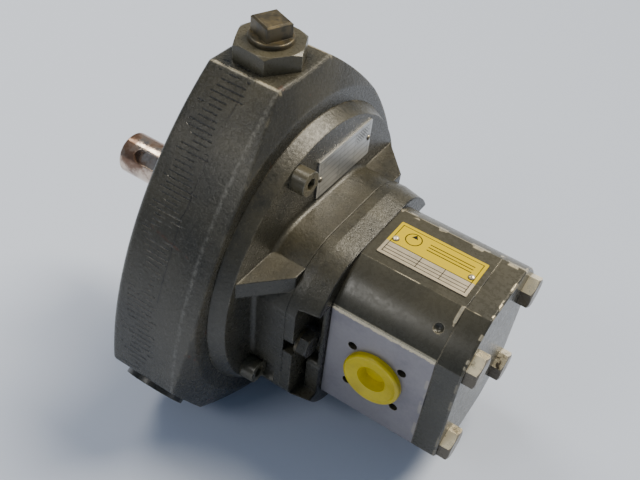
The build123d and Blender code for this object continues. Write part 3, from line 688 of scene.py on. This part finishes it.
def solidBoxes(node):
    work = bmesh.new()
    work.from_mesh(node.data)
    bmesh.ops.remove_doubles(work, verts=work.verts, dist=1e-6)
    left = set(work.verts)
    boxes = []
    while left:
        found = {left.pop()}
        edge = list(found)
        while edge:
            near = {link.other_vert(vert) for vert in edge for link in vert.link_edges} & left
            left -= near
            found |= near
            edge = list(near)
        corners = [[fold(vert.co[axis] for vert in found) for axis in range(3)] for fold in (min, max)]
        boxes.append(corners)
    work.free()
    return sorted(boxes)


def newNode(tree, kind, settings=None, **sockets):
    node = tree.nodes.new(kind)
    for name, value in (settings or {}).items():
        setattr(node, name, value)
    for name, value in sockets.items():
        feed(tree, value, node.inputs[name.replace("_", " ")])
    return node


headShape = {
    "cornerReach": 0.57735,     # from the middle to a corner, for each unit across the flats
    "topReach": 0.475,
    "slope": 1.73,
    "springTurns": 3.0,
}


def fastenerTree(name, kind):
    tree = bpy.data.node_groups.new(name, "GeometryNodeTree")
    tree.interface.new_socket("Geometry", in_out="INPUT", socket_type="NodeSocketGeometry")
    for label in ("Across", "Head Height", "Shank Radius", "Shank Length", "Turn", "Recess"):
        tree.interface.new_socket(label, in_out="INPUT", socket_type="NodeSocketFloat")
    tree.interface.new_socket("Heading", in_out="INPUT", socket_type="NodeSocketVector")
    tree.interface.new_socket("Finish", in_out="INPUT", socket_type="NodeSocketMaterial")
    tree.interface.new_socket("Geometry", in_out="OUTPUT", socket_type="NodeSocketGeometry")
    given = tree.nodes.new("NodeGroupInput").outputs
    result = tree.nodes.new("NodeGroupOutput")

    def lift(height):
        place = newNode(tree, "ShaderNodeCombineXYZ", Z=height)
        return place.outputs["Vector"]

    def moved(part, height, turn=None):
        spot = newNode(tree, "GeometryNodeTransform", Geometry=part, Translation=lift(height))
        if turn is not None:
            tree.links.new(lift(turn), spot.inputs["Rotation"])
        return spot.outputs["Geometry"]

    def prism(sides, radius, depth, height, turn=None):
        part = newNode(tree, "GeometryNodeMeshCylinder", Vertices=sides, Radius=radius, Depth=depth)
        return moved(part.outputs["Mesh"], height, turn)

    tall = given["Head Height"]
    middle = product(tree, tall, 0.5)
    radius = product(tree, given["Across"], 0.5)
    if kind == "coil":
        helix = newNode(tree, "GeometryNodeCurveSpiral", Resolution=28, Height=tall,
                        Rotations=headShape["springTurns"], Start_Radius=radius, End_Radius=radius)
        wire = newNode(tree, "GeometryNodeCurvePrimitiveCircle", Resolution=14,
                       Radius=given["Shank Radius"])
        swept = newNode(tree, "GeometryNodeCurveToMesh", Curve=helix.outputs["Curve"],
                        Profile_Curve=wire.outputs["Curve"], Fill_Caps=True)
        whole = swept.outputs["Mesh"]
    elif kind == "dome":
        ball = newNode(tree, "GeometryNodeMeshUVSphere", Segments=24, Rings=12, Radius=radius)
        flat = newNode(tree, "GeometryNodeTransform", Geometry=ball.outputs["Mesh"])
        squash = newNode(tree, "ShaderNodeCombineXYZ", X=1.0, Y=1.0,
                         Z=sums(tree, "DIVIDE", tall, radius))
        tree.links.new(squash.outputs["Vector"], flat.inputs["Scale"])
        whole = flat.outputs["Geometry"]
    else:
        # a cone with a 30 degree slope trims the corners of the head
        top = product(tree, given["Across"], headShape["topReach"])
        cone = newNode(tree, "GeometryNodeMeshCone", Vertices=48, Radius_Top=top, Depth=tall,
                       Radius_Bottom=sums(tree, "ADD", top, product(tree, tall, headShape["slope"])))
        if kind == "hex":
            corner = product(tree, given["Across"], headShape["cornerReach"])
            blank = prism(6, corner, tall, middle, given["Turn"])
        else:
            blank = prism(48, radius, tall, middle)
        trim = newNode(tree, "GeometryNodeMeshBoolean", {"operation": "INTERSECT", "solver": "EXACT"})
        tree.links.new(blank, trim.inputs["Mesh 2"])
        tree.links.new(cone.outputs["Mesh"], trim.inputs["Mesh 2"])
        head = trim.outputs["Mesh"]
        if kind == "socket":
            key = prism(6, product(tree, given["Recess"], headShape["cornerReach"]), tall, tall)
            hollow = newNode(tree, "GeometryNodeMeshBoolean",
                             {"operation": "DIFFERENCE", "solver": "EXACT"})
            tree.links.new(head, hollow.inputs["Mesh 1"])
            tree.links.new(key, hollow.inputs["Mesh 2"])
            head = hollow.outputs["Mesh"]
        sunk = product(tree, given["Shank Length"], -0.5)
        shank = prism(32, given["Shank Radius"], given["Shank Length"], sunk)
        both = tree.nodes.new("GeometryNodeJoinGeometry")
        tree.links.new(head, both.inputs["Geometry"])
        tree.links.new(shank, both.inputs["Geometry"])
        whole = both.outputs["Geometry"]
    spread = tree.nodes.new("GeometryNodeInstanceOnPoints")
    tree.links.new(given["Geometry"], spread.inputs["Points"])
    tree.links.new(whole, spread.inputs["Instance"])
    tree.links.new(given["Heading"], spread.inputs["Rotation"])
    real = newNode(tree, "GeometryNodeRealizeInstances", Geometry=spread.outputs["Instances"])
    done = newNode(tree, "GeometryNodeSetMaterial", Geometry=real.outputs["Geometry"],
                   Material=given["Finish"])
    tree.links.new(done.outputs["Geometry"], result.inputs["Geometry"])
    return tree


fastenerTrees = {kind: fastenerTree(kind + "Fastener", kind) for kind in ("hex", "socket", "dome", "coil")}
fasteners = {
    "cover_bolts": {"kind": "hex", "across": 16.0, "head": 6.4, "shank": 5.0, "turn": 0.0, "way": "+x",
                    "finish": "bolt", "slot": "zinc_steel"},
    "flange_bolts": {"kind": "hex", "across": 13.0, "head": 5.3, "shank": 4.0, "turn": 30.0, "way": "+x",
                     "finish": "boltPaintAndShade", "slot": "zinc_steel"},
    "adaptor_screws": {"kind": "socket", "across": 13.0, "head": 8.0, "shank": 4.0, "recess": 6.0,
                       "way": "+x", "finish": "hexPaint", "slot": "dark_steel"},
    "front_cover_screws": {"kind": "socket", "across": 10.0, "head": 6.0, "shank": 3.0, "recess": 5.0,
                           "way": "-x", "finish": "black", "slot": "dark_steel"},
    "name_plate_rivets": {"kind": "dome", "across": 3.0, "head": 0.8, "way": "+x",
                          "finish": "bolt", "slot": "zinc_steel"},
    "label_rivets": {"kind": "dome", "across": 3.8, "head": 1.1, "way": "+z",
                     "finish": "bolt", "slot": "zinc_steel"},
}
quarterTurn = radians(90)
headings = {"+x": (0.0, quarterTurn, 0.0), "-x": (0.0, -quarterTurn, 0.0), "+z": (0.0, 0.0, 0.0)}


def grown(name, seats, look, length, heading):
    spots = bpy.data.meshes.new(name + "Seats")
    spots.from_pydata(seats, [], [])
    holder = bpy.data.objects.new(name + "Seats", spots)
    bpy.context.collection.objects.link(holder)
    tree = fastenerTrees[look["kind"]]
    values = {"Across": look["across"] * mm, "Head Height": look["head"] * mm,
              "Shank Radius": look.get("shank", 0.0) * mm, "Shank Length": length,
              "Turn": radians(look.get("turn", 0.0)), "Recess": look.get("recess", 0.0) * mm,
              "Heading": heading, "Finish": finishes[look["finish"]]}
    modifier = holder.modifiers.new("grow", "NODES")
    modifier.node_group = tree
    for socket in tree.interface.items_tree:
        if socket.in_out == "INPUT" and socket.name in values:
            modifier[socket.identifier] = values[socket.name]
    shape = holder.evaluated_get(bpy.context.evaluated_depsgraph_get())
    mesh = bpy.data.meshes.new_from_object(shape)
    mesh.shade_smooth()
    mesh.set_sharp_from_angle(angle=radians(28))
    holder.modifiers.clear()
    bpy.data.objects.remove(holder)
    piece = bpy.data.objects.new(name + "_set", mesh)
    bpy.context.collection.objects.link(piece)
    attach(piece, "housing")
    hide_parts(name)
    print(name, len(seats), "made,", len(mesh.polygons), "faces")
    return piece


def fastenersFor(name, look):
    axis, outer = "xyz".index(look["way"][1]), look["way"][0] == "+"
    head = look["head"] * mm
    seats = []
    for low, high in solidBoxes(nodes[name]):
        seat = [(first + last) / 2 for first, last in zip(low, high)]
        seat[axis] = high[axis] - head if outer else low[axis] + head
        seats.append(seat)
        length = high[axis] - low[axis] - head
    grown(name, seats, look, length, headings[look["way"]])


for name, look in fasteners.items():
    fastenersFor(name, look)


# return springs, made at one fixed length; in the pump they shorten as their pistons lift

springLook = {"kind": "coil", "shank": 0.8, "finish": "shaft", "slot": "ground_steel", "lift": 1.5}
lobes = {"top": 90, "near": 210, "far": 330}

for element, lobe in lobes.items():
    name = "piston_spring_" + element
    along = Vector((0.0, cos(radians(lobe)), sin(radians(lobe))))
    verts = [vert.co.copy() for vert in nodes[name].data.vertices]
    reach = [vert.dot(along) for vert in verts]
    wire = springLook["shank"] * mm
    middle = sum(fold(vert.x for vert in verts) for fold in (min, max)) / 2
    width = max(vert.x for vert in verts) - min(vert.x for vert in verts) - 2 * wire
    inner = min(reach) + wire
    outer = max(reach) - wire
    seat = along * inner + Vector((middle, 0.0, 0.0))
    look = {**springLook, "across": width / mm, "head": (outer - inner) / mm}
    spring = grown(name, [seat], look, 0.0, (radians(lobe - 90), 0.0, 0.0))
    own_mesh(spring)


# camera, floor and light

cameraSettings = {
    "place": (0.21039, -0.27239, 0.30645),
    "right": (0.844325, 0.520754, 0.126215),
    "up": (-0.454215, 0.570622, 0.684163),
    "back": (0.284260, -0.634984, 0.718325),
    "lens": 45.08,
    "shift": (-0.0721, 0.0609),
}
camera = bpy.data.objects.new("camera", bpy.data.cameras.new("camera"))
bpy.context.collection.objects.link(camera)
turn = Matrix((cameraSettings["right"], cameraSettings["up"], cameraSettings["back"])).transposed()
camera.matrix_world = Matrix.Translation(cameraSettings["place"]) @ turn.to_4x4()
camera.data.sensor_width = 36
camera.data.lens = cameraSettings["lens"]
camera.data.shift_x, camera.data.shift_y = cameraSettings["shift"]
camera.data.clip_start = 0.01
bpy.context.scene.camera = camera

stageSettings = {
    "floorColour": (0.58, 0.645, 0.80),
    "floorSize": 60.0,
    "skyColour": (0.60, 0.76, 1.0),
    "skyStrength": 0.24,
}
floorMesh = bpy.data.meshes.new("floor")
half = stageSettings["floorSize"] / 2
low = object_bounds()[0][2] - 0.0005
floorCorners = [(-half, -half, low), (half, -half, low), (half, half, low), (-half, half, low)]
floorMesh.from_pydata(floorCorners, [], [(0, 1, 2, 3)])
floor = bpy.data.objects.new("floor", floorMesh)
bpy.context.collection.objects.link(floor)
floorMaterial, tree, shader, place = startMaterial("floorPaint")
shader.inputs["Base Color"].default_value = paint(stageSettings["floorColour"])
shader.inputs["Roughness"].default_value = 0.9
floorMesh.materials.append(floorMaterial)

world = bpy.data.worlds.new("studio")
world.use_nodes = True
sky = world.node_tree.nodes["Background"]
sky.inputs["Color"].default_value = paint(stageSettings["skyColour"])
sky.inputs["Strength"].default_value = stageSettings["skyStrength"]
bpy.context.scene.world = world

lamps = {
    "window": {"kind": "SUN", "place": (0.45, 0.75, 1.05), "size": 0.55, "power": 4.5,
               "colour": (1.0, 0.91, 0.73)},
    "overhead": {"kind": "AREA", "place": (-0.65, 0.25, 1.20), "size": 0.5, "power": 8.0,
                 "colour": (1.0, 0.94, 0.80)},
    "shoulderGlow": {"kind": "AREA", "place": (-0.30, -0.85, 0.85), "size": 0.32, "power": 2.4,
                     "colour": (1.0, 0.98, 0.94)},
}
for name, lamp in lamps.items():
    data = bpy.data.lights.new(name, lamp["kind"])
    data.energy = lamp["power"]
    data.color = lamp["colour"]
    if lamp["kind"] == "SUN":
        data.angle = lamp["size"]
    else:
        data.size = lamp["size"]
    holder = bpy.data.objects.new(name, data)
    bpy.context.collection.objects.link(holder)
    holder.location = lamp["place"]
    aim = Vector((0.06, 0.0, 0.0)) - Vector(lamp["place"])
    holder.rotation_euler = aim.to_track_quat("-Z", "Y").to_euler()
print("camera, floor and lamps set")
